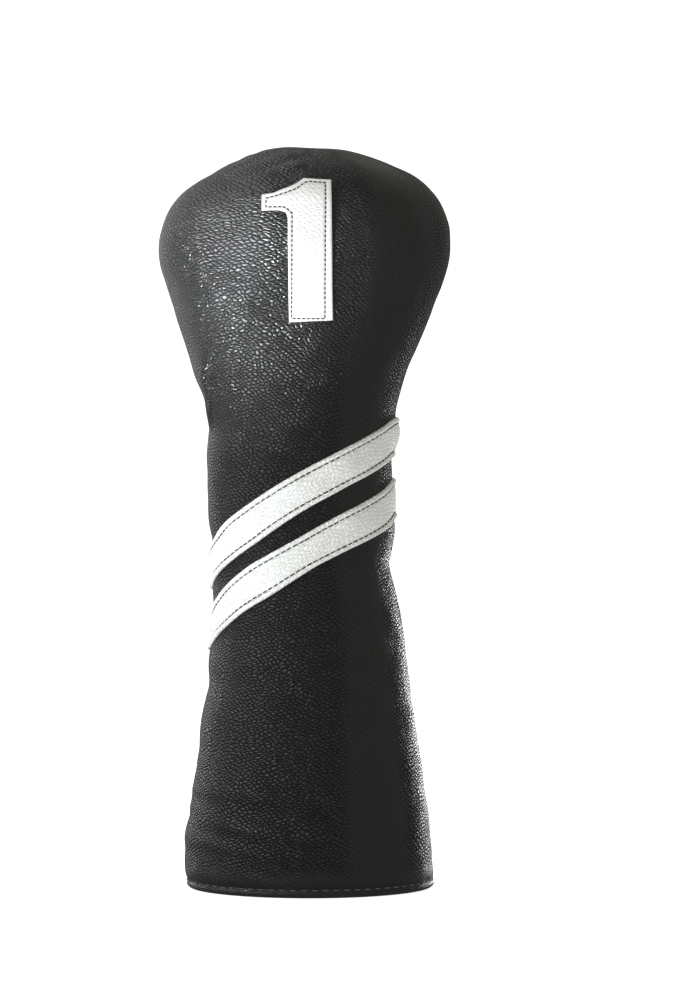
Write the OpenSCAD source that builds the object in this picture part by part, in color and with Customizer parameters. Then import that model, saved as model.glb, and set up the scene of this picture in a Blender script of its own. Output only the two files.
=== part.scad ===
// Padded, lined driver head cover: a leather sock that stands on its hem, mouth down.
// Front faces -Y, the right-hand seam is at +X, Z runs from the hem to the crown.
// Units: millimetres.

/* [Assembly] */
// Which sub-part to draw

/* [Overall size] */
// Height from the hem to the crown
cover_height = 360.7; // [330:0.1:390]
// Width across the widest part of the head
cover_width = 142; // [130:0.5:154]
// Depth of the head, front to back
cover_depth = 112; // [100:0.5:124]

/* [Layers] */
// Thickness of the black leather
leather = 1.3; // [1:0.1:1.6]
// Thickness of the foam padding
padding = 2.5; // [2:0.1:3]
// Thickness of the plush lining
lining = 3.5; // [2.5:0.1:4]
// Thickness of the padding where it tapers into the hem
hem_padding = 1.2; // [0.8:0.1:1.6]
// Thickness of the neck elastic
elastic = 1; // [0.6:0.1:1.4]

/* [Stripes] */
// Thickness of the stripe leather
stripe_thickness = 1.5; // [1.2:0.1:2]
// Size of the bevel along each stripe edge
stripe_bevel = 0.6; // [0.3:0.1:0.8]
// Upright width of the upper stripe
upper_stripe_width = 19.4; // [14:0.1:20]
// Upright width of the lower stripe
lower_stripe_width = 19.1; // [14:0.1:20]
// Height of the upper stripe, half way between its highest and lowest ends
upper_stripe_height = 185.8; // [182:0.1:190]
// Height of the lower stripe, half way between its highest and lowest ends
lower_stripe_height = 156.5; // [150:0.1:158]
// Rise of each stripe from that height to the right-hand seam
stripe_rise = 32.3; // [24:0.1:36]
// Upward bow of each stripe in the middle of a panel
stripe_bow = 6.3; // [0:0.1:8]

/* [Number] */
// Thickness of the numeral patch
patch_thickness = 1.2; // [0.8:0.1:1.6]

/* [Stitching] */
// Width of the sewing thread
thread_width = 0.6; // [0.4:0.05:0.8]
// Height of the sewing thread above the leather
thread_height = 0.4; // [0.3:0.05:0.5]
// Share of the stitch pitch that shows as thread
thread_share = 0.68; // [0.5:0.02:0.8]
// Distance from a stripe edge to its row of stitches
stripe_margin = 2.9; // [2:0.1:4]
// Distance from one numeral stitch to the next
number_pitch = 2.6; // [2.4:0.1:3.5]
// Height of the hem stitching above the hem
hem_stitch_height = 3.4; // [2:0.1:3.6]

/* [Hidden] */
front = -1;
back = 1;
segments = 16;
stripe_stitches = 3;
hem_stitches = 2;

// Numeral outline and its row of stitches, from the lower left corner of the stem
number_corner = [-6.5, 272.6];
number_outline = [
    [0, 0], [20.8, 1.2], [19.9, 67.3], [6.9, 67.7], [3.8, 65.2], [0.3, 63.5],
    [-3.7, 62.1], [-6.8, 60.7], [-12.5, 60], [-12.7, 52.5], [-4.4, 52.5], [-1.4, 51.5], [-0.4, 48.9]
];
number_seam = [
    [1.3, 1.9], [17, 1.9], [17.2, 65.6], [9.2, 66], [7.6, 65.4], [3.8, 62.6],
    [-0.9, 60.7], [-6.4, 59], [-10.5, 58.1], [-10.5, 54], [-2.6, 54], [-0.9, 53.4], [1.7, 51]
];
// Outline rows, and columns from the right-hand seam, that the numeral lies between
number_rows = [11, 18];
number_columns = [5, 11];

black_leather = [0.07, 0.07, 0.07];
white_leather = [0.9, 0.9, 0.88];
black_thread = [0.1, 0.1, 0.1];
foam = [0.75, 0.74, 0.68];
elastic_grey = [0.55, 0.55, 0.55];
plush = [0.16, 0.16, 0.17];

// Standard body outline, hem to crown: height, half width, half depth, sideways lean
outline = [
    [0, 60.6, 48.5, 2.7],
    [4, 60.5, 48.4, 2.7],
    [20, 59.7, 47.6, 2.7],
    [45, 56.8, 45.8, 2.3],
    [75, 52.4, 43.6, 1.8],
    [105, 48.4, 41.6, 1.5],
    [135, 45.8, 40.2, 0.5],
    [168, 44.0, 39.6, -1.1],
    [204, 45.7, 40.2, -1.5],
    [222, 46.0, 40.8, -1.6],
    [238, 48.0, 42.4, -1.7],
    [258, 54.4, 46.8, -1.7],
    [278, 61.4, 51.0, -1.1],
    [296, 68.0, 54.6, -0.3],
    [311, 71.0, 56.0, 0],
    [325, 69.6, 55.4, 0.5],
    [336, 63.6, 52.0, 1.3],
    [345, 53.8, 45.4, 2.1],
    [354, 37.5, 32.6, 2.1],
    [359.2, 20.0, 17.6, 2.1],
    [360.7, 0, 0, 2.1]
];
// Outline rows where the smooth, subdivided head begins, and the special rings
head_row = 9;
fold_ring = 1;
turn_ring = 2;
elastic_rings = [7, 8];

size_scale = [cover_height / 360.7, cover_width / 142, cover_depth / 112, 1];

function scaled(row) = [for (k = [0:3]) row[k] * size_scale[k]];

// Row before the first and after the last, so the curve ends level at the crown
function outline_row(i) =
    i < 0 ? outline[0] * 2 - outline[1]
    : i >= len(outline) ? [
        outline[2 * (len(outline) - 1) - i][0],
        -outline[2 * (len(outline) - 1) - i][1],
        -outline[2 * (len(outline) - 1) - i][2],
        outline[2 * (len(outline) - 1) - i][3]
    ]
    : outline[i];

// Smooth curve through the outline rows, half way from row i to row i + 1
function half_way(i) =
    (9 * (outline_row(i) + outline_row(i + 1)) - outline_row(i - 1) - outline_row(i + 2)) / 16;

base_rings = [
    for (i = [0:len(outline) - 1])
        each i < head_row || i == len(outline) - 1 ? [outline[i]] : [outline[i], half_way(i)]
];
rings = [for (row = base_rings) scaled(row)];
last_ring = len(rings) - 1;

// Share of the layer offset that also moves a ring down, none below the head
function drop_share(z) = let (s = min(1, max(0, (z / cover_height - 0.64) / 0.2))) s * s * (3 - 2 * s);

// Outward normal [radial, up] of the side profile at ring i
function profile_normal(i) =
    i == last_ring ? [0, 1]
    : let (
        low = rings[max(i - 1, 0)],
        high = rings[i + 1],
        rise = high[0] - low[0],
        grow = (high[1] + high[2] - low[1] - low[2]) / 2,
        size = norm([rise, grow])
    ) [rise, -grow] / size;

// Ring i moved inwards by a depth: height, half width, half depth, lean
function inset_ring(i, depth) =
    let (
        n = profile_normal(i),
        s = drop_share(rings[i][0]),
        k = depth / (n[0] * n[0] + s * n[1] * n[1])
    )
    [
        rings[i][0] - (i == 0 ? 0 : k * s * n[1]),
        rings[i][1] - k * n[0],
        rings[i][2] - k * n[0],
        rings[i][3]
    ];

// Point on an inset ring at an angle from the right-hand seam
function ring_point(side, angle, r) =
    [r[3] + r[1] * cos(angle), side * r[2] * sin(angle), r[0]];

function column_angle(j) = 180 * j / segments;

// Ring of a straight-sided part of the body at a free height
function ring_at(z, depth) =
    let (
        i = max([for (k = [0:last_ring - 1]) if (rings[k][0] <= z) k]),
        a = inset_ring(i, depth),
        b = inset_ring(i + 1, depth),
        t = (z - rings[i][0]) / (rings[i + 1][0] - rings[i][0])
    )
    [z, a[1] + t * (b[1] - a[1]), a[2] + t * (b[2] - a[2]), a[3] + t * (b[3] - a[3])];

// Depth of the layer boundaries below the outer surface
function padding_inside(i) =
    leather + (i <= fold_ring ? hem_padding : i == turn_ring ? (hem_padding + padding) / 2 : padding);
function lining_outside(i) =
    padding_inside(i) + (i >= elastic_rings[0] && i <= elastic_rings[1] ? elastic : 0);
function lining_inside(i) = padding_inside(i) + lining;

// Half of the cover wall. section is a closed list of [ring, depth] points that crosses the
// crown once; caps are the faces of the wall cut at each side seam.
module half_wall(side, section, caps) {
    count = len(section);
    poles = [for (k = [0:count - 1]) if (section[k][0] == last_ring) k];
    function index(j, k) =
        let (m = k % count) len([for (p = poles) if (p == m) p]) > 0 ? m : j * count + m;
    points = [
        for (j = [0:segments])
            for (s = section)
                ring_point(side, column_angle(j), inset_ring(s[0], s[1]))
    ];
    skin = [
        for (j = [0:segments - 1])
            for (k = [0:count - 1])
                for (f = [
                    [index(j, k), index(j, k + 1), index(j + 1, k + 1)],
                    [index(j, k), index(j + 1, k + 1), index(j + 1, k)]
                ])
                    if (f[0] != f[1] && f[1] != f[2] && f[2] != f[0]) f
    ];
    ends = [
        for (c = caps)
            each [
                [for (k = [len(c) - 1:-1:0]) index(0, c[k])],
                [for (k = c) index(segments, k)]
            ]
    ];
    faces = concat(skin, ends);
    polyhedron(points, side == front ? [for (f = faces) [for (k = [len(f) - 1:-1:0]) f[k]]] : faces);
}

// Cut faces between an outer run of section points and the inner run that mirrors it
function run_caps(first, last, count) = [for (k = [first:last - 1]) [k, k + 1, count - 2 - k, count - 1 - k]];

// Leather panel with its hem turned up inside
module panel(side) {
    turned = padding_inside(0) + leather;
    section = concat(
        [for (i = [0:last_ring]) [i, 0]],
        [for (i = [last_ring:-1:fold_ring]) [i, leather]],
        [
            [fold_ring, padding_inside(fold_ring)],
            [turn_ring, padding_inside(turn_ring)],
            [turn_ring, padding_inside(turn_ring) + leather],
            [fold_ring, turned],
            [0, turned]
        ]
    );
    inner = 2 * last_ring + 1;
    wall = [for (i = [fold_ring:last_ring - 1]) [i, i + 1, inner - i - 1, inner - i]];
    fold = [[0, fold_ring, inner - fold_ring, inner, inner + 3, inner + 4]];
    turn = [[inner, inner + 1, inner + 2, inner + 3]];
    half_wall(side, section, concat(wall, fold, turn));
}

module front_panel() {
    color(black_leather) panel(front);
}

module back_panel() {
    color(black_leather) panel(back);
}

// Foam between the leather and the lining
module padding_layer(side) {
    section = concat(
        [for (i = [fold_ring:last_ring]) [i, leather]],
        [for (i = [last_ring:-1:fold_ring]) [i, padding_inside(i)]]
    );
    half_wall(side, section, run_caps(0, last_ring - fold_ring, len(section)));
}

module front_padding() {
    color(foam) padding_layer(front);
}

module back_padding() {
    color(foam) padding_layer(back);
}

// Plush lining, thinned on the outside where the elastic presses into it
module lining_layer(side) {
    section = concat(
        [for (i = [turn_ring:last_ring]) [i, lining_outside(i)]],
        [for (i = [last_ring:-1:turn_ring]) [i, lining_inside(i)]]
    );
    half_wall(side, section, run_caps(0, last_ring - turn_ring, len(section)));
}

module front_lining() {
    color(plush) lining_layer(front);
}

module back_lining() {
    color(plush) lining_layer(back);
}

// Solid through a list of sections with equal point counts, joined into a ring or closed by caps
module loft(sections, caps = [], ring = false) {
    count = len(sections[0]);
    total = len(sections);
    steps = ring ? total : total - 1;
    function index(j, k) = (j % total) * count + k % count;
    skin = [
        for (j = [0:steps - 1])
            for (k = [0:count - 1])
                each [
                    [index(j, k), index(j, k + 1), index(j + 1, k + 1)],
                    [index(j, k), index(j + 1, k + 1), index(j + 1, k)]
                ]
    ];
    ends = [
        for (c = caps)
            each [
                [for (k = [len(c) - 1:-1:0]) c[k]],
                [for (k = c) index(total - 1, k)]
            ]
    ];
    polyhedron([for (s = sections) each s], concat(skin, ends));
}

// Elastic ring sewn around the neck, between the padding and the lining
module neck_elastic() {
    low = elastic_rings[0];
    high = elastic_rings[1];
    section = [
        for (i = [low, high]) [i, padding_inside(i)],
        for (i = [high, low]) [i, lining_outside(i)]
    ];
    color(elastic_grey)
        loft([
            for (j = [2 * segments - 1:-1:0])
                [for (s = section) ring_point(front, column_angle(j), inset_ring(s[0], s[1]))]
        ], ring = true);
}

// Height of a stripe's centre line above its middle, at an angle from the right-hand seam
function stripe_path(angle) =
    stripe_rise * (0.3 * cos(angle) + 0.7 * (1 - angle / 90)) + stripe_bow * sin(angle);

// Points of a stripe's cross-section at a column: foot, shoulders and top edges
function stripe_section(side, j, height, width) =
    let (
        angle = column_angle(j),
        middle = height + stripe_path(angle),
        half = width / 2
    )
    [
        for (p = [
            [-half, 0],
            [-half, stripe_bevel - stripe_thickness],
            [stripe_bevel - half, -stripe_thickness],
            [half - stripe_bevel, -stripe_thickness],
            [half, stripe_bevel - stripe_thickness],
            [half, 0]
        ])
            ring_point(side, angle, ring_at(middle + p[0], p[1]))
    ];

module stripe(side, height, width) {
    columns = side == front ? [segments:-1:0] : [0:segments];
    color(white_leather)
        loft([for (j = columns) stripe_section(side, j, height, width)], [[0, 1, 2, 3, 4, 5]]);
}

module upper_stripe_front() {
    stripe(front, upper_stripe_height, upper_stripe_width);
}

module upper_stripe_back() {
    stripe(back, upper_stripe_height, upper_stripe_width);
}

module lower_stripe_front() {
    stripe(front, lower_stripe_height, lower_stripe_width);
}

module lower_stripe_back() {
    stripe(back, lower_stripe_height, lower_stripe_width);
}

function mix(a, b, t) = a + t * (b - a);

function unit(v) = v / norm(v);

// One stitch on a flat facet: from a to b, with up pointing along the facet
module stitch(a, b, up, side) {
    along = unit(b - a);
    out = unit(cross(up, along)) * (cross(up, along) * [0, side, 0] < 0 ? -1 : 1);
    across = cross(out, along);
    corner = a - across * thread_width / 2;
    multmatrix([for (r = [0:2]) [along[r], across[r], out[r], corner[r]]])
        cube([norm(b - a), thread_width, thread_height]);
}

// Stitches across one facet of a wall, whose two edges are given low end first
module facet_stitches(left, right, share, count, side) {
    a = mix(left[0], left[1], share);
    b = mix(right[0], right[1], share);
    gap = (1 - thread_share) / 2;
    for (n = [0:count - 1])
        stitch(mix(a, b, (n + gap) / count), mix(a, b, (n + 1 - gap) / count), left[1] - left[0], side);
}

// Both rows of stitches around a stripe
module stripe_stitching(height, width) {
    flat = width - 2 * stripe_bevel;
    inset = (stripe_margin / cos(28) - stripe_bevel) / flat;
    color(black_thread)
        for (side = [front, back], j = [0:segments - 1], share = [inset, 1 - inset]) {
            near = stripe_section(side, j, height, width);
            far = stripe_section(side, j + 1, height, width);
            facet_stitches([near[2], near[3]], [far[2], far[3]], share, stripe_stitches, side);
        }
}

module upper_stripe_stitching() {
    stripe_stitching(upper_stripe_height, upper_stripe_width);
}

module lower_stripe_stitching() {
    stripe_stitching(lower_stripe_height, lower_stripe_width);
}

// Row of stitches around the outside of the hem
module hem_stitching() {
    share = hem_stitch_height / rings[fold_ring][0];
    function edge(side, j) =
        [for (i = [0, fold_ring]) ring_point(side, column_angle(j), inset_ring(i, 0))];
    color(black_thread)
        for (side = [front, back], j = [0:segments - 1])
            facet_stitches(edge(side, j), edge(side, j + 1), share, hem_stitches, side);
}

// Layer of the front of the head between two heights above its surface
module front_layer(low, high) {
    first = head_row + 2 * (number_rows[0] - head_row);
    last = head_row + 2 * (number_rows[1] - head_row);
    sections = [
        for (j = [number_columns[0]:number_columns[1]])
            concat(
                [for (i = [first:last]) ring_point(front, column_angle(j), inset_ring(i, -low))],
                [for (i = [last:-1:first]) ring_point(front, column_angle(j), inset_ring(i, -high))]
            )
    ];
    loft(sections, run_caps(0, last - first, len(sections[0])));
}

// Flat shapes of the front view, cut out of a layer of the head
module front_cutout(low, high) {
    intersection() {
        front_layer(low, high);
        translate([number_corner[0], 0, number_corner[1]])
            rotate([90, 0, 0])
                linear_extrude(height = cover_depth)
                    children();
    }
}

// Numeral patch, cut from white leather
module number_patch() {
    color(white_leather)
        front_cutout(0, patch_thickness)
            polygon(number_outline);
}

// Stitches along one side of the numeral
module seam_side(a, b) {
    count = max(1, round(norm(b - a) / number_pitch));
    pitch = norm(b - a) / count;
    translate(a)
        rotate(atan2(b[1] - a[1], b[0] - a[0]))
            for (n = [0:count - 1])
                translate([(n + (1 - thread_share) / 2) * pitch, -thread_width / 2])
                    square([thread_share * pitch, thread_width]);
}

module number_stitching() {
    color(black_thread)
        front_cutout(patch_thickness, patch_thickness + thread_height)
            for (k = [0:len(number_seam) - 1])
                seam_side(number_seam[k], number_seam[(k + 1) % len(number_seam)]);
}

front_panel();
back_panel();
number_patch();
number_stitching();
upper_stripe_front();
upper_stripe_back();
lower_stripe_front();
lower_stripe_back();
upper_stripe_stitching();
lower_stripe_stitching();
hem_stitching();
front_padding();
back_padding();
neck_elastic();
front_lining();
back_lining();
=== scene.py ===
"""Looks of the driver head cover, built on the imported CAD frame.

Shapes are worked out in millimetres in the CAD frame: the front faces -Y, the right-hand seam is
at +X, and Z runs from the hem to the crown. They turn into metres when a mesh is made.
"""

import math

import bmesh
import bpy
import numpy as np
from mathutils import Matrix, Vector, geometry


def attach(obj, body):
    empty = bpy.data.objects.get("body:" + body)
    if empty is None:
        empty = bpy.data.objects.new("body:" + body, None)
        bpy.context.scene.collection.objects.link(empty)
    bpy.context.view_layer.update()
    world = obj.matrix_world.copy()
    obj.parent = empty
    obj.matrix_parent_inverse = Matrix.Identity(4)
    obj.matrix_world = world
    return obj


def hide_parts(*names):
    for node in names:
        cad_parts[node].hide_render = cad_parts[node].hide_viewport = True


MM = 0.001
FRONT, BACK = -1, 1
BELOW_ALL, ABOVE_ALL = -50, 400  # heights clear of the cover, for open-ended windows

# ---------------------------------------------------------------- body outline

# Height, left edge and right edge of the leather, hem to widest part of the head
EDGES = [
    [0, -56.5, 63.0], [3, -56.9, 63.2], [7, -57.2, 62.7], [13, -57.6, 62.2], [20.5, -57.4, 62.1],
    [28.3, -56.6, 61.6], [36.2, -55.9, 60.6], [44, -54.4, 59.5], [51.8, -53.4, 58.0],
    [59.6, -51.6, 57.0], [67.4, -50.2, 55.9], [75.3, -50.1, 55.1], [83.1, -49.2, 54.4],
    [90.9, -47.5, 52.7], [98.7, -46.4, 52.2], [106.5, -46.5, 51.2], [114.4, -45.9, 50.6],
    [122.2, -45.1, 49.4], [130, -44.0, 47.7], [137.8, -43.6, 45.9], [145.6, -43.7, 44.1],
    [151.5, -43.9, 42.6], [157.4, -44.0, 41.7], [163.3, -44.2, 43.1], [169.1, -44.3, 44.0],
    [176.9, -45.9, 44.3], [184.7, -46.6, 43.3], [192.5, -46.7, 43.2], [200.4, -47.1, 43.4],
    [208.2, -47.6, 43.7], [216, -47.4, 43.4], [223.8, -47.0, 44.1], [231.6, -47.5, 44.3],
    [239.5, -49.0, 45.4], [247.3, -52.0, 47.4], [255.1, -54.0, 50.8], [262.9, -56.2, 54.6],
    [270.7, -58.6, 58.2], [278.6, -62.0, 61.5], [286.4, -65.1, 63.9], [294.2, -67.6, 66.9],
    [302, -70.1, 69.1], [309.8, -70.8, 70.4],
]
# The same above the widest part, up to the crown
DOME = [
    [315.7, -70.5, 70.4], [321.6, -69.2, 69.9], [327.4, -67.5, 68.3], [331.3, -65.9, 66.8],
    [335.2, -63.2, 64.7], [339.2, -59.2, 61.6], [343.1, -53.6, 57.9], [347, -46.8, 52.6],
    [350.9, -39.5, 45.1], [354.8, -32.0, 36.0], [357.8, -24.5, 27.6], [359.8, -16.2, 19.4],
    [360.7, -7.2, 9.8],
]
CROWN = [361.0, 0.9]
# Height and half depth
DEPTHS = [
    [0, 48.5], [4, 48.4], [20, 47.6], [45, 45.8], [75, 43.6], [105, 41.6], [135, 40.2], [168, 39.6],
    [204, 40.2], [222, 40.6], [238, 41.6], [250, 43.2], [262, 45.8], [276, 49.6], [289, 53.4],
    [299, 55.3], [311, 56.0],
]
WIDEST = 310  # height of the widest part of the head
# Height and half depth as a share of the half width, above it
DOME_DEPTH = [[311, 0.787], [325, 0.796], [336, 0.82], [345, 0.845], [354, 0.87], [361, 0.88]]

# Thickness of each layer, from the outer face of the leather inwards
LEATHER = 1.3
PADDING = 2.5
HEM_PADDING = 1.2
ELASTIC = 1.0
LINING = 3.5
GAP = 0.05  # between neighbouring layers
# Heights of the padding's lower edge, the turned-up hem's cut edge and the elastic's two edges
PADDING_LOW = 4.5
BAND_TOP = 20.0
ELASTIC_LOW, ELASTIC_HIGH = 168.0, 204.0
# The padding is thin up to the first height and full from the second
THIN_TO, FULL_FROM = 4, 40


def curve(table, at):
    """Smooth curve through the table's rows, read at the given values of its first column."""
    table = np.asarray(table, float)
    x, y = table[:, 0], table[:, 1:]
    slope = np.gradient(y, x, axis=0)
    at = np.asarray(at, float)
    i = np.clip(np.searchsorted(x, at, side="right") - 1, 0, len(x) - 2)
    step = x[i + 1] - x[i]
    t = ((at - x[i]) / step)[..., None]
    step = step[..., None]
    return (
        (1 + 2 * t) * (1 - t) ** 2 * y[i] + t * (1 - t) ** 2 * step * slope[i]
        + t * t * (3 - 2 * t) * y[i + 1] + t * t * (t - 1) * step * slope[i + 1]
    )


def outline_table():
    """Rows of distance along the side profile, height, middle, half width and half depth."""
    rows = []
    for z, left, right in EDGES + DOME:
        half = (right - left) / 2
        if z < WIDEST:
            deep = curve(DEPTHS, z)[0]
        else:
            deep = half * np.interp(z, *np.array(DOME_DEPTH).T)
        rows.append([z, (left + right) / 2, half, deep])
    last = rows[-1]
    # the crown, and the last row mirrored past it, so that the profile arrives level
    rows.append([CROWN[0], CROWN[1], 0, 0])
    rows.append([last[0], last[1], -last[2], -last[3]])
    rows = np.array(rows)
    run = np.hypot(np.diff(rows[:, 0]), np.diff(rows[:, 2]))
    return np.column_stack([np.concatenate([[0], np.cumsum(run)]), rows])


OUTLINE = outline_table()
TOP = OUTLINE[-2, 0]  # distance along the side profile at the crown
FINE_RUN = np.linspace(0, TOP, 4000)
FINE_Z = curve(OUTLINE, FINE_RUN)[:, 0]
NEAR_TOP = 0.3  # normals are not taken closer to the crown than this
CROWN_BLEND = 6  # and turn upright over this distance from it


def along(z):
    """Distance along the side profile at a height."""
    return np.interp(z, FINE_Z, FINE_RUN)


def base(side, angle, run):
    """Point and outward normal of the plain outer surface.

    The angle runs from 0 at the right-hand seam to pi at the left-hand one.
    """
    turn, step = 1e-3, 0.05

    def point(a, s):
        z, middle, half, deep = np.moveaxis(curve(OUTLINE, s), -1, 0)
        return np.stack([middle + half * np.cos(a), side * deep * np.sin(a), z], -1)

    angle, run = np.broadcast_arrays(np.asarray(angle, float), np.asarray(run, float))
    safe = np.minimum(run, TOP - NEAR_TOP)
    across = point(angle + turn, safe) - point(angle - turn, safe)
    up = point(angle, safe + step) - point(angle, safe - step)
    normal = np.cross(across, up) * side
    normal /= np.linalg.norm(normal, axis=-1, keepdims=True)
    blend = np.clip((TOP - run) / CROWN_BLEND, 0, 1)[..., None]
    normal = normal * blend + np.array([0, 0, 1.0]) * (1 - blend)
    normal /= np.linalg.norm(normal, axis=-1, keepdims=True)
    return point(angle, run), normal


# ---------------------------------------------------------------- relief

WAVE_NUMBER = 2.2  # turns the size of a bump into a wave number
PUCKER_PITCH = 5.4
PINCH_X, PINCH_Z = -45.2, 240


def waves(p, seed, size, count=24):
    """Smooth random field of unit strength whose bumps have about the given size (x, y, z)."""
    rng = np.random.default_rng(seed)
    total = np.zeros(p.shape[:-1])
    for _ in range(count):
        k = rng.normal(size=3) * WAVE_NUMBER / np.array(size)
        total += np.cos(p @ k + rng.uniform(0, 2 * math.pi))
    return total * math.sqrt(2 / count)


def bump(x, middle, width):
    """1 at the middle, falling to 0.37 a width away on both sides."""
    return np.exp(-(((x - middle) / width) ** 2))


def window(x, low, high, soft):
    """1 between low and high, falling smoothly to 0 over the soft distance outside."""
    a = np.clip((x - low + soft) / soft, 0, 1)
    b = np.clip((high + soft - x) / soft, 0, 1)
    return a * a * (3 - 2 * a) * b * b * (3 - 2 * b)


def relief(p, side):
    """Unevenness of the leather, in millimetres outwards, at points of the plain surface."""
    x, y, z = p[..., 0], p[..., 1], p[..., 2]

    def leaning(slope):
        return p + np.stack([0 * x, 0 * x, slope * x], -1)

    high = 0.42 * waves(p, 3, (46, 46, 30)) + 0.16 * waves(p, 4, (17, 17, 12))
    high *= window(z, 14, ABOVE_ALL, 12)
    # side seams: the edges turn in, with a soft roll beside them
    seam = window(z, BELOW_ALL, 352, 6)
    high += seam * (-1.15 * bump(y, 0, 0.8) + 0.3 * bump(np.abs(y), 2.8, 1.5))
    # hem: a dip along the row of stitches, puckered, with a roll below and above it
    dip = 0.55 * bump(z, 4.0, 1.5)
    pucker = 1 + 0.25 * np.cos(x * 2 * math.pi / PUCKER_PITCH)
    high += -dip * pucker + 0.3 * bump(z, 1.4, 1.4) + 0.25 * bump(z, 8.0, 2.6)
    # front, above the hem: slack folds
    slack = window(z, 18, 50, 12) * window(x, -46, 6, 22) * (side == FRONT)
    high += slack * 0.48 * waves(leaning(0.25), 8, (34, 34, 7.0))
    # neck: soft slanting folds above and below the stripes
    neck = window(z, 196, 246, 16) + 0.7 * window(z, 96, 140, 16)
    high += neck * 0.35 * waves(leaning(0.5), 11, (44, 44, 13))
    # front, above the hem: a low swelling on the left
    high += 1.1 * bump(z, 27, 10) * window(x, -50, -8, 22) * (side == FRONT)
    if side == FRONT:
        # crown: small wrinkles on the left, and a shallow fold down the right of the numeral
        crown = window(z, 343, 356, 6) * window(x, -36, -4, 10)
        high += crown * 0.3 * waves(p, 15, (11, 11, 5))
        high -= 0.55 * bump(x, 44, 6) * window(z, 286, 330, 16)
        # left seam above the neck: a pinch, which is a groove with a ridge on its right
        pinch = window(z, 230, 250, 10)
        d = x - (PINCH_X + 0.02 * (z - PINCH_Z))
        high += pinch * (
            -2.2 * bump(d, -1.6, 1.1) + 1.2 * bump(d, 0.5, 0.7) + 0.4 * bump(d, 2.4, 2.0)
        )
    return high


def skin(side, angle, run, lift=0.0):
    """Point at a height above (or depth below) the finished leather."""
    p, n = base(side, angle, run)
    return p + n * (relief(p, side) + lift)[..., None]


# ---------------------------------------------------------------- flat pattern

# Cells of the pattern's grid, in angle and in run
PATTERN_ACROSS, PATTERN_UP = 40, 84
RELAX_ROUNDS = 2500
RELAX_SHARE = 4.5
# The back panel is cut from another part of the hide, this far away on the flat pattern
BACK_HIDE = 600
# The grain is smoothed in a band down the right of the front (degrees, leaning with height),
# and below the foot height
CALM_FROM, CALM_TO, CALM_SOFT, CALM_LEAN = 44, 66, 12, 28
CALM_FOOT, CALM_FOOT_SOFT = 15, 7
CALM_MOST = 0.8


def flat_pattern():
    """Low-stretch flat pattern of one panel on a coarse grid of runs and angles, in millimetres."""
    a = np.linspace(0, math.pi, PATTERN_ACROSS + 1)
    r = np.linspace(0, TOP, PATTERN_UP + 1)
    angle, run = np.meshgrid(a, r)
    p, _ = base(FRONT, angle, run)
    across = np.linalg.norm(np.diff(p, axis=1), axis=2)
    u = np.concatenate([np.zeros((len(r), 1)), np.cumsum(across, axis=1)], axis=1)
    centre = PATTERN_ACROSS // 2
    uv = np.stack([u[:, centre:centre + 1] - u, run], -1)
    # springs along the rows, the columns and both diagonals, relaxed to their true lengths
    families = [
        ((slice(None), slice(None, -1)), (slice(None), slice(1, None))),
        ((slice(None, -1), slice(None)), (slice(1, None), slice(None))),
        ((slice(None, -1), slice(None, -1)), (slice(1, None), slice(1, None))),
        ((slice(None, -1), slice(1, None)), (slice(1, None), slice(None, -1))),
    ]
    lengths = [np.linalg.norm(p[b] - p[c], axis=-1) for b, c in families]
    for _ in range(RELAX_ROUNDS):
        move = np.zeros_like(uv)
        for (b, c), length in zip(families, lengths):
            d = uv[c] - uv[b]
            now = np.linalg.norm(d, axis=-1)
            pull = d * ((now - length) / np.maximum(now, 1e-6))[..., None] * 0.5
            move[b] += pull
            move[c] -= pull
        uv += move / RELAX_SHARE
    return uv


PATTERN = flat_pattern()


def grain_at(side, angle, run):
    """Place on the flat pattern (x, y) and how far the grain is smoothed there (z, 0 to 1)."""
    inside = 0.001
    angle, run = np.broadcast_arrays(angle, run)
    i = np.clip(angle / math.pi * PATTERN_ACROSS, 0, PATTERN_ACROSS - inside)
    k = np.clip(run / TOP * PATTERN_UP, 0, PATTERN_UP - inside)
    i0, k0 = i.astype(int), k.astype(int)
    across, up = (i - i0)[..., None], (k - k0)[..., None]
    low = PATTERN[k0, i0] * (1 - across) + PATTERN[k0, i0 + 1] * across
    high = PATTERN[k0 + 1, i0] * (1 - across) + PATTERN[k0 + 1, i0 + 1] * across
    flat = low * (1 - up) + high * up
    z = base(side, angle, run)[0][..., 2]
    lean = np.degrees(angle) + z / CALM_LEAN
    calm = window(lean, CALM_FROM, CALM_TO, CALM_SOFT) * (side == FRONT)
    foot = np.clip((CALM_FOOT - z) / CALM_FOOT_SOFT, 0, 1)
    calm = CALM_MOST * np.maximum(calm, foot)
    return np.concatenate([flat + (BACK_HIDE if side == BACK else 0), calm[..., None]], -1)


# ---------------------------------------------------------------- meshes

WELD, SLIVER = 1e-7, 1e-8  # metres
RADIUS = 46  # of a typical cross-section, to turn millimetres into angles
# Distances of the columns of points beside a seam, and of the first evenly spaced one
SEAM_COLUMNS = [0, 0.35, 0.7, 1.05, 1.45, 1.95, 2.6, 3.4, 4.4]
FIRST_FAR = 5.6
FAR_GIRTH, HALF_GIRTH = 140, 150
PANEL_STEP, PANEL_ROW = 1.15, 1.32
# Heights of the rows of points at the hem, and of the lowest evenly spaced one
HEM_ROWS = [2.2, 2.6, 3.0, 3.4, 3.8, 4.2, 4.7, 5.3, 6.0, 6.8, 7.7, 8.7, 9.8]
FIRST_ROW = 11
# The fold round the hem: its middle height, how far it drops, and its angles
FOLD_Z, FOLD_DROP = 1.95, 0.25
FOLD_ANGLES = [15, 35, 55, 75, 90, 105, 125, 145, 165, 180]
TURNED_LOW = 3.2


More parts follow.
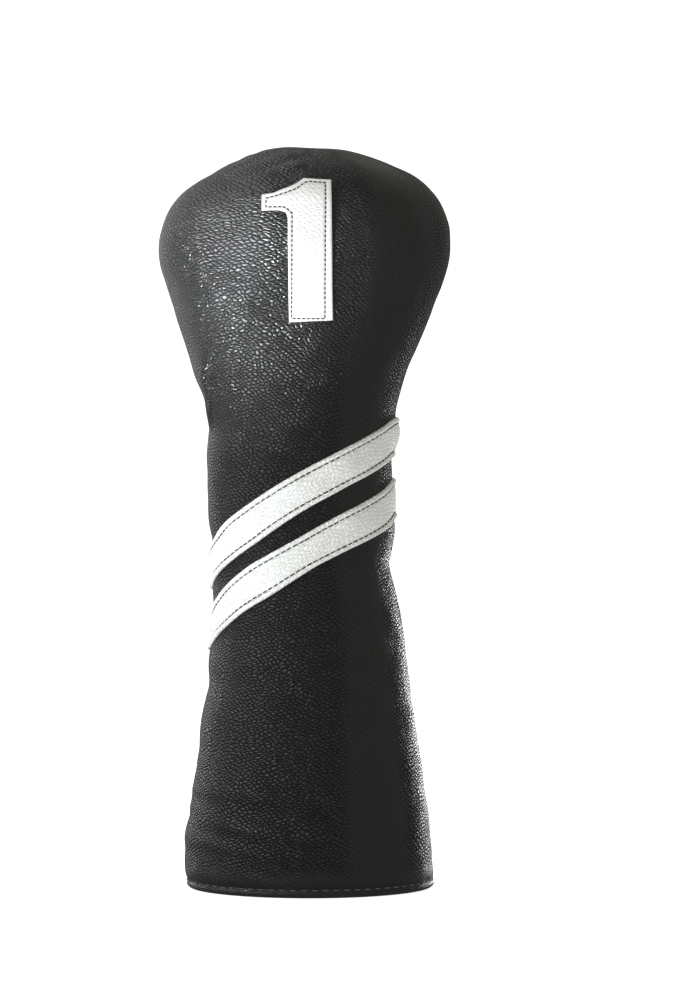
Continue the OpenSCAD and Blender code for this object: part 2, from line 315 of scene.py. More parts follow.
def grid(rows, columns, first=0, flip=False, ring=False):
    """Quads of a grid of points stored row by row."""
    span = columns if ring else columns - 1
    r, c = np.meshgrid(np.arange(rows - 1), np.arange(span), indexing="ij")
    nxt = (c + 1) % columns
    low, high = r * columns, (r + 1) * columns
    q = np.stack([low + c, low + nxt, high + nxt, high + c], -1).reshape(-1, 4) + first
    return q[:, ::-1] if flip else q


def piece(name, points, faces, material, slot, nodes, grain=None):
    """A smooth mesh piece from points in millimetres. Points that meet are joined."""
    mesh = bpy.data.meshes.new(name)
    places = (np.asarray(points, float) * MM).tolist()
    mesh.from_pydata(places, [], [list(map(int, f)) for f in faces])
    if grain is not None:
        store = mesh.attributes.new("grain", "FLOAT_VECTOR", "POINT")
        store.data.foreach_set("vector", np.asarray(grain, np.float32).ravel())
    b = bmesh.new()
    b.from_mesh(mesh)
    bmesh.ops.remove_doubles(b, verts=b.verts, dist=WELD)
    bmesh.ops.dissolve_degenerate(b, edges=b.edges, dist=SLIVER)
    bmesh.ops.recalc_face_normals(b, faces=b.faces)
    b.to_mesh(mesh)
    b.free()
    mesh.polygons.foreach_set("use_smooth", np.ones(len(mesh.polygons), bool))
    mesh.materials.append(material)
    obj = bpy.data.objects.new(name, mesh)
    bpy.context.scene.collection.objects.link(obj)
    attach(obj, "root")
    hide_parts(*nodes)
    return obj


def columns(step):
    """Angles from the right-hand seam to the left, close together beside the seams."""
    near = np.array(SEAM_COLUMNS) / RADIUS
    first = FIRST_FAR / RADIUS
    far = np.linspace(first, math.pi - first, round(FAR_GIRTH / step))
    return np.concatenate([near, far, math.pi - near[::-1]])


def shell(outer, inner):
    """Closed wall between two grids of points, joined round all four edges."""
    rows, cols = outer.shape[:2]
    points = np.concatenate([outer.reshape(-1, 3), inner.reshape(-1, 3)])
    count = rows * cols
    faces = [grid(rows, cols), grid(rows, cols, count, flip=True)]
    o = np.arange(count).reshape(rows, cols)
    i = o + count
    for a, b in ((o[0], i[0]), (i[-1], o[-1]), (i[:, 0], o[:, 0]), (o[:, -1], i[:, -1])):
        faces.append(np.stack([a[:-1], b[:-1], b[1:], a[1:]], -1))
    return points, np.concatenate(faces)


def depth_below(z, hem, body):
    """A layer depth that grows from its hem value to its body value over the hem band."""
    return hem + (body - hem) * np.clip((z - THIN_TO) / (FULL_FROM - THIN_TO), 0, 1)


def panel(side):
    """Leather panel: the outer wall, and its hem turned up inside."""
    a = columns(PANEL_STEP)
    even = np.arange(along(FIRST_ROW), TOP - 2 * NEAR_TOP, PANEL_ROW)
    rows = np.concatenate([along(np.array(HEM_ROWS)), even, [TOP - NEAR_TOP, TOP]])[::-1]
    angle, run = np.meshgrid(a, rows)
    outer = skin(side, angle, run)
    inner = skin(side, angle, run, -LEATHER)
    # the fold round the padding's lower edge
    middle = LEATHER + HEM_PADDING / 2
    p, n = base(side, a, along(HEM_ROWS[0]))
    p = p + n * relief(p, side)[:, None]
    flat = n * [1, 1, 0]
    flat /= np.linalg.norm(flat, axis=-1, keepdims=True)
    fold_o, fold_i = [], []
    for t in np.radians(FOLD_ANGLES):
        for store, radius in ((fold_o, middle), (fold_i, middle - LEATHER)):
            q = p - flat * (middle - radius * math.cos(t))
            q[:, 2] = FOLD_Z - radius * math.sin(t) + FOLD_DROP * (1 - math.sin(t))
            store.append(q)
    # the turned-up band inside, to its cut edge; the wall's relief fades out up to 9 mm
    band_o, band_i = [], []
    for z in np.linspace(TURNED_LOW, BAND_TOP, 14):
        q, m = base(side, a, np.full_like(a, along(z)))
        deep = depth_below(z, LEATHER + HEM_PADDING, LEATHER + PADDING)
        q = q + m * (relief(q, side) * np.clip(1 - z / 9, 0, 1))[:, None]
        band_i.append(q - m * deep)
        band_o.append(q - m * (deep + LEATHER))
    outer = np.concatenate([outer, np.array(fold_o), np.array(band_o)])
    inner = np.concatenate([inner, np.array(fold_i), np.array(band_i)])
    # the grain runs on round the fold
    wall_grain = grain_at(side, angle, run)
    turned = np.repeat(wall_grain[-1:], len(outer) - len(wall_grain), axis=0)
    steps = np.linalg.norm(np.diff(outer[len(wall_grain) - 1:], axis=0), axis=2)
    turned[..., 1] -= np.cumsum(steps, axis=0)
    grain = np.concatenate([wall_grain, turned])
    points, faces = shell(outer, inner)
    return points, faces, np.concatenate([grain, grain]).reshape(-1, 3)


def layer(side, low, depths, step, fuzz=0.0):
    """A plain inner layer between two depths below the leather, from a height to the crown."""
    a = np.linspace(0, math.pi, round(HALF_GIRTH / step))
    rows = np.append(np.arange(along(low), TOP - 0.6 * step, step), TOP)[::-1]
    angle, run = np.meshgrid(a, rows)
    p, n = base(side, angle, run)
    z = curve(OUTLINE, run)[..., 0]
    outer, inner = (deep(z) for deep in depths)
    if fuzz:
        tufts = waves(p, 21, (5, 5, 5), 32) + 0.6 * waves(p, 22, (2.6, 2.6, 2.6), 32)
        inner = inner + fuzz * np.sin(angle) * tufts
    follow = relief(p, side) * window(z, 24, ABOVE_ALL, 20)
    return shell(*(p + n * (follow - d)[..., None] for d in (outer, inner)))


def elastic_ring():
    """Elastic ring round the neck, gathered a little along its length."""
    parts = []
    for side in (FRONT, BACK):
        a = np.linspace(0, math.pi, 160)
        rows = along(np.linspace(ELASTIC_LOW, ELASTIC_HIGH, 14))[::-1]
        angle, run = np.meshgrid(a, rows)
        p, n = base(side, angle, run)
        ripple = 0.04 * np.cos(angle * 90) * np.sin(angle) ** 0.5
        parts.append(shell(*(
            p + n * (relief(p, side) - LEATHER - PADDING - d + ripple)[..., None]
            for d in (2 * GAP, ELASTIC - 2 * GAP)
        )))
    return join([(p, [list(f) for f in g]) for p, g in parts])


# ---------------------------------------------------------------- stripes

# Angle from the right-hand seam (degrees) and height of each stripe's middle
UPPER = [
    [0, 219.6], [16, 217.8], [31, 213.8], [48, 208.6], [61, 204.1], [77.5, 197.6], [93.5, 190.6],
    [110, 182.7], [122, 176.9], [137, 170.5], [146.5, 166.6], [163, 160.0], [180, 153.8],
]
LOWER = [
    [0, 190.2], [15, 187.4], [29, 183.5], [47, 178.4], [60.5, 174.1], [78, 167.4], [94.5, 160.2],
    [111.5, 152.6], [124, 147.6], [138, 141.5], [147, 137.5], [163, 130.6], [180, 124.2],
]
UPPER_WIDTH, LOWER_WIDTH = 19.4, 19.1
# Distance in from the stripe's edge, and height above the leather
STRIPE_SECTION = [
    [0, 0.0], [0.04, 0.8], [0.3, 1.4], [0.75, 1.8], [1.25, 1.94], [1.75, 1.84], [2.15, 1.52],
    [2.5, 1.12], [2.75, 0.86], [2.9, 0.82], [3.05, 0.86], [3.35, 1.12], [3.8, 1.4], [4.5, 1.6],
    [5.4, 1.7], [6.8, 1.76], [8.2, 1.8],
]
STITCH_IN = 2.9
UNDER, UNDER_IN = -0.1, 0.4  # the underside, just inside the panel, and in from the edges
STRIPE_ENDS = np.array([0, 0.004, 0.012, 0.025])  # angles beside a seam
STRIPE_WANDER = 0.12
STRIPE_HIDE = 40  # how far apart the front and back stripes are cut from the middle of the hide


def stripe_point(side, path, angle, offset, lift):
    """Point above the leather, offset straight up from the stripe's middle."""
    middle = curve(path, np.degrees(angle))[..., 0]
    return skin(side, angle, along(middle + offset), lift)


def stripe(side, path, width):
    """One half of a stripe, from seam to seam: a strip with rolled edges, closed underneath."""
    even = np.linspace(0.04, math.pi - 0.04, 210)
    a = np.concatenate([STRIPE_ENDS, even, math.pi - STRIPE_ENDS[::-1]])
    half = width / 2
    left = [[-half + d, h] for d, h in STRIPE_SECTION]
    right = [[half - d, h] for d, h in STRIPE_SECTION[::-1]]
    top = left + [[0, STRIPE_SECTION[-1][1] + 0.02]] + right
    under = [[d, UNDER] for d in (half - UNDER_IN, half / 2, 0, -half / 2, -half + UNDER_IN)]
    section = np.array(top + under)
    angle, offset = np.meshgrid(a, section[:, 0], indexing="ij")
    lift = np.broadcast_to(section[:, 1], angle.shape)
    # each edge wanders a little along its length (45 mm for a unit of angle)
    wander = waves(np.stack([angle * 45, 0 * angle, offset * 0 + side], -1), 31, (22, 1, 1))
    offset = offset + STRIPE_WANDER * wander * np.sign(offset)
    points = stripe_point(side, path, angle, offset, lift)
    rows, cols = points.shape[:2]
    faces = [list(f) for f in grid(rows, cols, ring=True)]
    faces.append(list(range(cols)))
    faces.append([(rows - 1) * cols + k for k in range(cols)][::-1])
    middle = points[:, len(STRIPE_SECTION)]
    run = np.concatenate([[0], np.cumsum(np.linalg.norm(np.diff(middle, axis=0), axis=1))])
    grain = np.stack([run[:, None] + 0 * offset, offset + side * STRIPE_HIDE, 0 * offset], -1)
    return points.reshape(-1, 3), faces, grain.reshape(-1, 3)


# ---------------------------------------------------------------- stitches

THREAD = 0.62  # thickness
SUNK = 0.16  # depth of a stitch's ends below the line
RING, RINGS = 8, 7  # points round a stitch, and rings along it
STRIPE_PITCH, STRIPE_SHARE = 3.2, 0.94
HEM_PITCH, HEM_SHARE, HEM_RISE, HEM_SEAM_Z = 5.3, 0.6, 0.4, 3.9
NUMBER_PITCH, NUMBER_SHARE = 2.25, 0.82


def stitches(line, normals, pitch, share, height=0.26):
    """Rounded stitches along a line of points that lie on the leather.

    Each takes up a share of the pitch, and rises to the height in its middle.
    """
    line, normals = np.asarray(line), np.asarray(normals)
    run = np.concatenate([[0], np.cumsum(np.linalg.norm(np.diff(line, axis=0), axis=1))])
    count = max(1, round(run[-1] / pitch))
    pitch = run[-1] / count
    points, faces = [], []
    for k in range(count):
        middle = (k + 0.5) * pitch
        where = middle + np.linspace(-0.5, 0.5, RINGS) * share * pitch
        p = np.stack([np.interp(where, run, line[:, c]) for c in range(3)], -1)
        n = np.stack([np.interp(where, run, normals[:, c]) for c in range(3)], -1)
        n /= np.linalg.norm(n, axis=1, keepdims=True)
        t = np.gradient(p, axis=0)
        t /= np.linalg.norm(t, axis=1, keepdims=True)
        across = np.cross(n, t)
        u = np.linspace(-1, 1, RINGS)
        radius = THREAD / 2 * np.sqrt(np.clip(1 - (0.94 * u) ** 4, 0.02, 1))
        rise = (height + SUNK) * (1 - u ** 4) - SUNK
        first = len(points) * RING
        for i in range(RINGS):
            points.append([
                p[i] + n[i] * (rise[i] + 0.8 * radius[i] * math.sin(w))
                + across[i] * radius[i] * math.cos(w)
                for w in np.linspace(0, 2 * math.pi, RING, endpoint=False)
            ])
        faces += grid(RINGS, RING, first, ring=True).tolist()
        faces.append([first + j for j in range(RING)][::-1])
        faces.append([first + (RINGS - 1) * RING + j for j in range(RING)])
    return np.array(points).reshape(-1, 3), faces


def join(parts):
    """One mesh from several lists of points and faces."""
    points, faces, first = [], [], 0
    for p, f in parts:
        points.append(p)
        faces += [[i + first for i in g] for g in f]
        first += len(p)
    return np.concatenate(points), faces


def with_normals(line, values):
    """A line of points from a function of (values, lift), with its outward normals."""
    p = line(values, 0.0)
    n = line(values, 1.0) - p
    return p, n / np.linalg.norm(n, axis=1, keepdims=True)


def stripe_stitching(path, width):
    """Two rows of stitches along a stripe, front and back."""
    parts = []
    a = np.linspace(0.02, math.pi - 0.02, 400)
    surface = np.array(STRIPE_SECTION)
    level = np.interp(STITCH_IN, surface[:, 0], surface[:, 1])
    for side in (FRONT, BACK):
        for way in (-1, 1):
            def line(a, lift):
                return stripe_point(side, path, a, way * (width / 2 - STITCH_IN), level + lift)

            parts.append(stitches(*with_normals(line, a), STRIPE_PITCH, STRIPE_SHARE))
    return join(parts)


def hem_stitching():
    """One row of stitches along the hem, front and back."""
    parts = []
    a = np.linspace(0.03, math.pi - 0.03, 400)
    for side in (FRONT, BACK):
        def line(a, lift):
            return skin(side, a, along(HEM_SEAM_Z), lift)

        parts.append(stitches(*with_normals(line, a), HEM_PITCH, HEM_SHARE, HEM_RISE))
    return join(parts)


# ---------------------------------------------------------------- numeral

# Lower left corner of the numeral (x, z), and its outline and seam from there
NUMBER_CORNER = np.array([-6.5, 272.6])
NUMBER_OUTLINE = NUMBER_CORNER + [
    [0, 0], [20.8, 1.2], [19.9, 67.3], [6.9, 67.7], [3.8, 65.2], [0.3, 63.5], [-3.7, 62.1],
    [-6.8, 60.7], [-12.5, 60], [-12.7, 52.5], [-4.4, 52.5], [-1.4, 51.5], [-0.4, 48.9],
]
NUMBER_SEAM = NUMBER_CORNER + [
    [1.3, 1.9], [17, 1.9], [17.2, 65.6], [9.2, 66], [7.6, 65.4], [3.8, 62.6], [-0.9, 60.7],
    [-6.4, 59], [-10.5, 58.1], [-10.5, 54], [-2.6, 54], [-0.9, 53.4], [1.7, 51],
]
# Height above the leather: at the edge, the rise just inside it, the groove along the seam,
# the swelling of the middle, and the level on which the stitches lie
PATCH_EDGE, PATCH_RISE, PATCH_GROOVE, PATCH_SWELL = 0.75, 0.45, 0.42, 0.12
PATCH_SEAM = 0.8
RIM_STEP, INNER_STEP, RIM_CLEAR = 0.5, 0.55, 0.3
NUMBER_HIDE, NUMBER_CALM = 300, 0.8


def number_point(xz, lift):
    """Point above the front leather at an upright position x, z."""
    run = along(xz[:, 1])
    _, middle, half, _ = curve(OUTLINE, run).T
    angle = np.arccos(np.clip((xz[:, 0] - middle) / half, -1, 1))
    return skin(FRONT, angle, run, lift)


def spaced(corners, step):
    """Points along a closed outline, about a step apart, keeping its corners."""
    out = []
    for a, b in zip(corners, np.roll(corners, -1, axis=0)):
        count = max(1, round(np.linalg.norm(b - a) / step))
        out += [a + (b - a) * k / count for k in range(count)]
    return np.array(out)


def edge_distance(p, corners):
    """Distance of each point from a closed outline."""
    best = np.full(len(p), 1e9)
    for a, b in zip(corners, np.roll(corners, -1, axis=0)):
        t = np.clip(((p - a) @ (b - a)) / ((b - a) @ (b - a)), 0, 1)[:, None]
        best = np.minimum(best, np.linalg.norm(p - a - t * (b - a), axis=1))
    return best


def number_patch():
    """The numeral: a flat patch cut to shape, triangulated and laid on the leather."""
    corners = NUMBER_OUTLINE
    rim = spaced(corners, RIM_STEP)
    low, high = corners.min(0), corners.max(0)
    gx, gz = np.meshgrid(
        np.arange(low[0], high[0], INNER_STEP), np.arange(low[1], high[1], INNER_STEP)
    )
    gx = gx + (np.arange(gx.shape[0]) % 2)[:, None] * INNER_STEP / 2
    inside = np.stack([gx.ravel(), gz.ravel()], -1)
    inside = inside[edge_distance(inside, corners) > RIM_CLEAR]
    flat = [Vector(p) for p in np.concatenate([rim, inside])]
    ring = [(k, (k + 1) % len(rim)) for k in range(len(rim))]
    verts, _, tris, _, _, _ = geometry.delaunay_2d_cdt(flat, ring, [], 1, 1e-5)
    verts = np.array([list(v) for v in verts])
    tris = [list(t) for t in tris]
    away = edge_distance(verts, corners)
    top = PATCH_EDGE + PATCH_RISE * np.clip(away / 0.5, 0, 1) ** 0.6
    top += PATCH_SWELL * np.clip((away - 3) / 5, 0, 1)
    top -= PATCH_GROOVE * bump(edge_distance(verts, NUMBER_SEAM), 0, 0.5)
    up = number_point(verts, top)
    down = number_point(verts, UNDER)
    count = len(verts)
    edges = dict.fromkeys((a, b) for t in tris for a, b in zip(t, t[1:] + t[:1]))
    faces = tris + [[i + count for i in t[::-1]] for t in tris]
    faces += [[b, a, a + count, b + count] for a, b in edges if (b, a) not in edges]
    grain = np.column_stack([verts + NUMBER_HIDE, np.full(count, NUMBER_CALM)])
    return np.concatenate([up, down]), faces, np.concatenate([grain, grain])


def number_stitching():
    """One row of stitches inside the numeral's edge."""
    seam = spaced(NUMBER_SEAM, 0.6)
    seam = np.concatenate([seam, seam[:1]])

    def line(xz, lift):
        return number_point(xz, PATCH_SEAM + lift)

    return stitches(*with_normals(line, seam), NUMBER_PITCH, NUMBER_SHARE)


# ---------------------------------------------------------------- materials

def add(tree, kind, inputs=None, **settings):
    """A new node, with its settings and its inputs: a value, or another node's output."""
    n = tree.nodes.new(kind)
    for key, value in settings.items():
        setattr(n, key, value)
    for key, value in (inputs or {}).items():
        socket = n.inputs[key]
        if isinstance(value, bpy.types.NodeSocket):
            tree.links.new(value, socket)
        else:
            socket.default_value = value
    return n


def new_material(name):
    """An empty node material and its tree."""
    m = bpy.data.materials.new(name)
    m.use_nodes = True
    m.node_tree.nodes.clear()
    return m, m.node_tree


def ramp(tree, value, stops):
    """Colour ramp with (position, colour) stops."""
    n = add(tree, "ShaderNodeValToRGB", {"Fac": value})
    e = n.color_ramp.elements
    while len(e) < len(stops):
        e.new(0.5)
    for item, (at, colour) in zip(e, stops):
        item.position = at
        item.color = (*colour, 1)
    return n.outputs["Color"]


def math_node(tree, operation, a, b):
    return add(tree, "ShaderNodeMath", {0: a, 1: b}, operation=operation).outputs[0]


def vector_node(tree, operation, inputs):
    return add(tree, "ShaderNodeVectorMath", inputs, operation=operation).outputs[0]


def noise(tree, where, **inputs):
    """The grey value of a noise texture."""
    return add(tree, "ShaderNodeTexNoise", {"Vector": where, **inputs}).outputs["Fac"]


def rescale(tree, value, from_min, from_max, to_min=0.0, to_max=1.0, **settings):
    """Map a value from one range to another."""
    return add(tree, "ShaderNodeMapRange", {
        "Value": value, "From Min": from_min, "From Max": from_max,
        "To Min": to_min, "To Max": to_max,
    }, **settings).outputs[0]


# Leather grain, in millimetres on the flat pattern
ROW_TURN = -16  # degrees, the slant of the rows of cells
ROW_SLIP = 0.5  # sideways slip of each row, in cells
DRIFT_SCALE, DRIFT = 0.11, 5.0
CREASE = 0.5  # distance from a cell's edge, in cells, over which it rises
FINE_SCALE, FINE_SHARE, FINE_ROUGH = 1.6, 0.12, 0.08
SWELL_SCALE, SWELL_SHARE = 0.16, 0.6
CALM_SHARE, CALM_LEVEL = 0.8, 0.75
CREASE_ROUGH = 0.3  # roughness added in the creases


def leather(name, dark, light, rough, cell, height, shine, shaded_crease_shine, soft):
    """Pebbled leather: domed cells in slanting rows, with creases between them and a fine grain.

    The cell size and the height are in millimetres. Soft cells have flatter tops and flanks.
    """
    m, t = new_material(name)
    grain = add(t, "ShaderNodeAttribute", attribute_name="grain").outputs["Vector"]
    calm = add(t, "ShaderNodeSeparateXYZ", {0: grain}).outputs[2]
    where = vector_node(t, "MULTIPLY", {0: grain, 1: (1.0, 1.0, 0.0)})
    drift = add(t, "ShaderNodeTexNoise", {"Vector": where, "Scale": DRIFT_SCALE, "Detail": 1.0})
    shift = vector_node(t, "SUBTRACT", {0: drift.outputs["Color"], 1: (0.5, 0.5, 0.5)})
    shift = vector_node(t, "SCALE", {0: shift, "Scale": DRIFT})
    moved = vector_node(t, "ADD", {0: where, 1: shift})
    turned = add(t, "ShaderNodeMapping", {
        "Vector": moved, "Rotation": (0.0, 0.0, math.radians(ROW_TURN)),
    }).outputs[0]
    # cells: the distance from the edge makes a dome
    scaled = add(t, "ShaderNodeMapping", {
        "Vector": turned, "Scale": (1 / cell[0], 1 / cell[1], 1.0),
    })
    split = add(t, "ShaderNodeSeparateXYZ", {0: scaled.outputs[0]}).outputs
    slid = math_node(t, "ADD", split[0], math_node(t, "MULTIPLY", split[1], ROW_SLIP))
    cells = add(t, "ShaderNodeCombineXYZ", {0: slid, 1: split[1]}).outputs[0]
    edge = add(t, "ShaderNodeTexVoronoi", {"Vector": cells, "Scale": 1.0, "Randomness": 0.55},
               feature="DISTANCE_TO_EDGE", voronoi_dimensions="2D").outputs["Distance"]
    side = rescale(t, edge, 0.0, CREASE)
    if soft:
        dome = rescale(t, side, 0.0, 1.0, interpolation_type="SMOOTHSTEP")
    else:
        dome = math_node(t, "MULTIPLY", side, math_node(t, "SUBTRACT", 2.0, side))
    dome = add(t, "ShaderNodeMix", {
        "Factor": math_node(t, "MULTIPLY", calm, CALM_SHARE), "A": dome, "B": CALM_LEVEL,
    }).outputs[0]
    # bump: dome, fine grain and a slow swell
    fine = noise(t, turned, Scale=FINE_SCALE, Detail=4.0, Roughness=0.6)
    swell = noise(t, turned, Scale=SWELL_SCALE, Detail=1.0)
    h = math_node(t, "ADD", dome, math_node(t, "MULTIPLY", fine, FINE_SHARE))
    h = math_node(t, "ADD", h, math_node(t, "MULTIPLY", swell, SWELL_SHARE))
    bumped = add(t, "ShaderNodeBump", {"Strength": 1.0, "Distance": height * MM, "Height": h})
    # the creases are rougher; their darker tint and lower shine are painted shade
    tint = ramp(t, dome, [(0.0, dark), (0.6, light)])
    worn = rescale(t, dome, 0.1, 0.8, rough + CREASE_ROUGH, rough)
    s = add(t, "ShaderNodeBsdfPrincipled", {
        "Base Color": tint,
        "Roughness": math_node(t, "ADD", worn, math_node(t, "MULTIPLY", fine, FINE_ROUGH)),
        "Normal": bumped.outputs[0],
        "Specular IOR Level": rescale(t, dome, 0.0, 0.85, shine * shaded_crease_shine, shine),
    })
    add(t, "ShaderNodeOutputMaterial", {"Surface": s.outputs[0]})
    return m


def thread(name, colour, rough):
    """Twisted sewing thread."""
    m, t = new_material(name)
    where = add(t, "ShaderNodeTexCoord").outputs["Object"]
    twist = add(t, "ShaderNodeTexWave", {
        "Vector": where, "Scale": 900.0, "Distortion": 3.0, "Detail": 2.0,
    }, bands_direction="DIAGONAL").outputs["Fac"]
    bumped = add(t, "ShaderNodeBump", {"Strength": 0.5, "Distance": 0.1 * MM, "Height": twist})
    # the twist's grooves are painted darker: painted shade
    tint = ramp(t, twist, [(0.0, [c * 0.6 for c in colour]), (1.0, colour)])
    s = add(t, "ShaderNodeBsdfPrincipled", {
        "Base Color": tint, "Roughness": rough, "Normal": bumped.outputs[0],
        "Specular IOR Level": 0.3,
    })
    add(t, "ShaderNodeOutputMaterial", {"Surface": s.outputs[0]})
    return m


def fibre(name, dark, light, size, height, sheen):
    """Foam, elastic or plush: a matt surface of fine clumps, sized in millimetres."""
    m, t = new_material(name)
    where = add(t, "ShaderNodeTexCoord").outputs["Object"]
    clump = noise(t, where, Scale=1 / (size * MM), Detail=6.0, Roughness=0.7)
    cell = add(t, "ShaderNodeTexVoronoi", {"Vector": where, "Scale": 1.6 / (size * MM)})
    h = math_node(t, "ADD", clump, math_node(t, "MULTIPLY", cell.outputs["Distance"], 0.5))
    bumped = add(t, "ShaderNodeBump", {"Strength": 1.0, "Distance": height * MM, "Height": h})
    # the tint follows the clump noise that also raises the bump, so the hollows are painted darker:
    # painted shade
    tint = ramp(t, clump, [(0.3, dark), (0.7, light)])
    s = add(t, "ShaderNodeBsdfPrincipled", {
        "Base Color": tint, "Roughness": 0.9, "Normal": bumped.outputs[0],
        "Sheen Weight": sheen, "Sheen Roughness": 0.5,
    })
    add(t, "ShaderNodeOutputMaterial", {"Surface": s.outputs[0]})
    return m


# ---------------------------------------------------------------- build

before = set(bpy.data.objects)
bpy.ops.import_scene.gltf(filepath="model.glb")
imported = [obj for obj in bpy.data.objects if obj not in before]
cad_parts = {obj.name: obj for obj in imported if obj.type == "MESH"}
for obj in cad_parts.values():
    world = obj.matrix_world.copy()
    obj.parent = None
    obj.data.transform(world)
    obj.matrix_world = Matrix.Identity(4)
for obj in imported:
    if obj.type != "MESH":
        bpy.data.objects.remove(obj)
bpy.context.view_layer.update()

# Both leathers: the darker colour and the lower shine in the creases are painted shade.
black = leather(
    "black_leather", dark=(0.002, 0.002, 0.002), light=(0.006, 0.006, 0.0056), rough=0.31,
    cell=(2.4, 1.6), height=0.42, shine=0.8, shaded_crease_shine=0.3, soft=False,
)
white = leather(
    "white_leather", dark=(0.68, 0.68, 0.65), light=(0.87, 0.865, 0.855), rough=0.46,
    cell=(2.5, 1.9), height=0.38, shine=0.4, shaded_crease_shine=0.7, soft=True,
)
dark_thread = thread("black_thread", (0.012, 0.012, 0.012), 0.55)
# the hem thread's light grey is painted sheen on a black thread
painted_sheen_hem_thread = thread("hem_thread", (0.14, 0.14, 0.14), 0.4)
foam = fibre("foam", (0.55, 0.54, 0.48), (0.78, 0.77, 0.7), 1.2, 0.3, 0.0)
band = fibre("elastic", (0.28, 0.28, 0.28), (0.5, 0.5, 0.5), 0.8, 0.3, 0.1)
plush = fibre("plush", (0.012, 0.012, 0.013), (0.05, 0.05, 0.052), 1.6, 0.9, 0.6)

STRIPES = (("upper", UPPER, UPPER_WIDTH, 0.148), ("lower", LOWER, LOWER_WIDTH, 0.147))


def foam_outside(z):
    return LEATHER + GAP + 0 * z


def foam_inside(z):
    return depth_below(z, LEATHER + HEM_PADDING, LEATHER + PADDING) - GAP


def plush_outside(z):
    """The plush makes room for the elastic ring."""
    return LEATHER + PADDING + GAP + ELASTIC * window(z, ELASTIC_LOW - 2, ELASTIC_HIGH + 2, 6)


def plush_inside(z):
    return LEATHER + PADDING + LINING + 0 * z


for side, name in ((FRONT, "front"), (BACK, "back")):
    points, faces, grain = panel(side)
    obj = piece(f"{name}_leather", points, faces, black, "black_leather", [f"{name}_panel"], grain)
    points, faces = layer(side, PADDING_LOW, (foam_outside, foam_inside), step=3.0)
    obj = piece(f"{name}_foam", points, faces, foam, "foam", [f"{name}_padding"])
    points, faces = layer(side, BAND_TOP, (plush_outside, plush_inside), step=2.0, fuzz=0.35)
    obj = piece(f"{name}_plush", points, faces, plush, "plush", [f"{name}_lining"])
    for which, path, width, length in STRIPES:
        points, faces, grain = stripe(side, path, width)
        obj = piece(f"{which}_stripe_{name}_leather", points, faces, white, "white_leather",
                    [f"{which}_stripe_{name}"], grain)

for which, path, width, _ in STRIPES:
    points, faces = stripe_stitching(path, width)
    piece(f"{which}_stripe_thread", points, faces, dark_thread, "black_thread",
          [f"{which}_stripe_stitching"])
piece("hem_thread", *hem_stitching(), painted_sheen_hem_thread, "black_thread", ["hem_stitching"])
points, faces, grain = number_patch()
patch = piece("number_leather", points, faces, white, "white_leather", ["number_patch"], grain)
piece("number_thread", *number_stitching(), dark_thread, "black_thread", ["number_stitching"])
ring = piece("neck_band", *elastic_ring(), band, "elastic", ["neck_elastic"])

# ---------------------------------------------------------------- studio

SENSOR, LENS = 36, 111.73
CAMERA_AT = (0.0174, -1.5, 0.1913)
COOL = (0.9, 0.96, 1.0)
# Strength of the world in diffuse light and towards the camera, and in gloss from left to right
WORLD_DIFFUSE, WORLD_CAMERA = 0.53, 1.3
WORLD_LEFT, WORLD_RIGHT, WORLD_TURN = 0.4, 0.26, 0.8
# The floor: its extent and depth in millimetres, and its glow in diffuse light and in gloss
FLOOR_X, FLOOR_Y, FLOOR_DEEP, FLOOR_POINTS = (-40000, 40000), (-3000, 60000), 0.05, 24
FLOOR_DIFFUSE, FLOOR_GLOSS, FLOOR_CAMERA = 0.9, 0.2, 0.85

scene = bpy.context.scene
scene.view_settings.view_transform = "Standard"

lens = bpy.data.cameras.new("camera")
lens.sensor_width = SENSOR
lens.lens = LENS
camera = bpy.data.objects.new("camera", lens)
camera.location = CAMERA_AT
camera.rotation_euler = (math.pi / 2, 0, 0)
scene.collection.objects.link(camera)
scene.camera = camera


def area_light(name, place, aim, size, power, colour=(1, 1, 1), spread=180,
               diffuse=True, glossy=True):
    """Rectangular light aimed at a point. It can be left out of diffuse light or of gloss."""
    data = bpy.data.lights.new(name, "AREA")
    data.shape = "RECTANGLE"
    data.size, data.size_y = size
    data.energy = power
    data.color = colour
    data.spread = math.radians(spread)
    obj = bpy.data.objects.new(name, data)
    obj.location = place
    obj.rotation_euler = (Vector(aim) - Vector(place)).to_track_quat("-Z", "Y").to_euler()
    obj.visible_diffuse = diffuse
    obj.visible_glossy = glossy
    scene.collection.objects.link(obj)


# card, head and key give the black leather its gloss; fill exposes the white leather
area_light("card", (-0.44, -0.44, 0.01), (-0.47, -0.47, 1), (0.5, 0.55), 0.9, COOL, diffuse=False)
area_light("head", (-0.42, -0.35, 0.01), (-0.036, -0.05, 0.263), (0.1, 0.1), 0.25, COOL, 12,
           diffuse=False)
area_light("fill", (-0.44, -0.44, 0.01), (-0.44, -0.44, 1), (0.5, 0.55), 9.8, COOL, glossy=False)
area_light("left", (-1.3, -0.4, 0.3), (0, 0, 0.25), (0.6, 0.6), 1.3)
area_light("key", (-0.9, -0.7, 0.9), (0, 0, 0.2), (0.3, 0.3), 3.4, COOL, diffuse=False)
area_light("top", (-0.6, 0.35, 1.2), (0, 0, 0.3), (0.9, 0.9), 5)
area_light("back_left", (-1.0, 1.1, 0.4), (0, 0, 0.25), (0.8, 0.8), 4)
# rim is the bright right-hand edge of the skirt
area_light("rim", (0.31, 0.47, 0.06), (0.05, 0, 0.07), (0.26, 0.16), 0.075, spread=36)


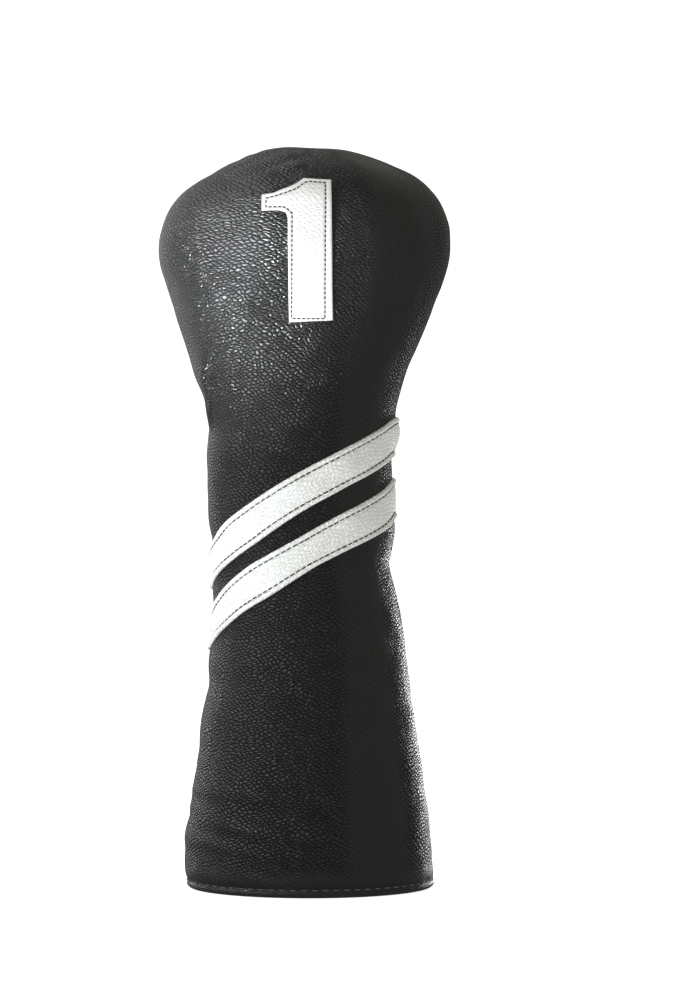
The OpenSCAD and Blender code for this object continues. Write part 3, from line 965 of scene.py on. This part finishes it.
def studio_world():
    """Pale surroundings, a little brighter on the left in gloss."""
    world = bpy.data.worlds.new("studio")
    scene.world = world
    world.use_nodes = True
    t = world.node_tree
    t.nodes.clear()
    rays = add(t, "ShaderNodeLightPath").outputs
    way = add(t, "ShaderNodeTexCoord").outputs["Generated"]
    across = add(t, "ShaderNodeSeparateXYZ", {0: way}).outputs[0]
    gloss = rescale(t, across, -WORLD_TURN, WORLD_TURN, WORLD_LEFT, WORLD_RIGHT)
    strength = add(t, "ShaderNodeMix", {
        "Factor": rays["Is Glossy Ray"], "A": WORLD_DIFFUSE, "B": gloss,
    }).outputs[0]
    strength = add(t, "ShaderNodeMix", {
        "Factor": rays["Is Camera Ray"], "A": strength, "B": WORLD_CAMERA,
    }).outputs[0]
    backdrop = add(t, "ShaderNodeBackground", {
        "Color": (1.0, 0.99, 0.92, 1), "Strength": strength,
    })
    add(t, "ShaderNodeOutputWorld", {"Surface": backdrop.outputs[0]})


def floor():
    """Plain pale floor, just below the hem."""
    x, y = np.meshgrid(
        np.linspace(*FLOOR_X, FLOOR_POINTS), np.linspace(*FLOOR_Y, FLOOR_POINTS), indexing="ij"
    )
    points = np.stack([x, y, 0 * x - FLOOR_DEEP], -1).reshape(-1, 3)
    mesh = bpy.data.meshes.new("floor")
    mesh.from_pydata((points * MM).tolist(), [], grid(FLOOR_POINTS, FLOOR_POINTS).tolist())
    obj = bpy.data.objects.new("floor", mesh)
    m, t = new_material("floor")
    where = add(t, "ShaderNodeTexCoord").outputs["Object"]
    tint = ramp(t, noise(t, where, Scale=6.0), [(0.0, (0.9, 0.9, 0.9)), (1.0, (0.93, 0.93, 0.93))])
    bright = add(t, "ShaderNodeBsdfPrincipled", {
        "Base Color": tint, "Roughness": 0.8,
        "Emission Color": (1, 1, 1, 1), "Emission Strength": FLOOR_CAMERA,
    })
    rays = add(t, "ShaderNodeLightPath").outputs
    glow = rescale(t, rays["Is Glossy Ray"], 0.0, 1.0, FLOOR_DIFFUSE, FLOOR_GLOSS)
    plain = add(t, "ShaderNodeEmission", {"Strength": glow})
    s = add(t, "ShaderNodeMixShader", {
        0: rays["Is Camera Ray"], 1: plain.outputs[0], 2: bright.outputs[0],
    })
    add(t, "ShaderNodeOutputMaterial", {"Surface": s.outputs[0]})
    mesh.materials.append(m)
    scene.collection.objects.link(obj)


studio_world()
floor()
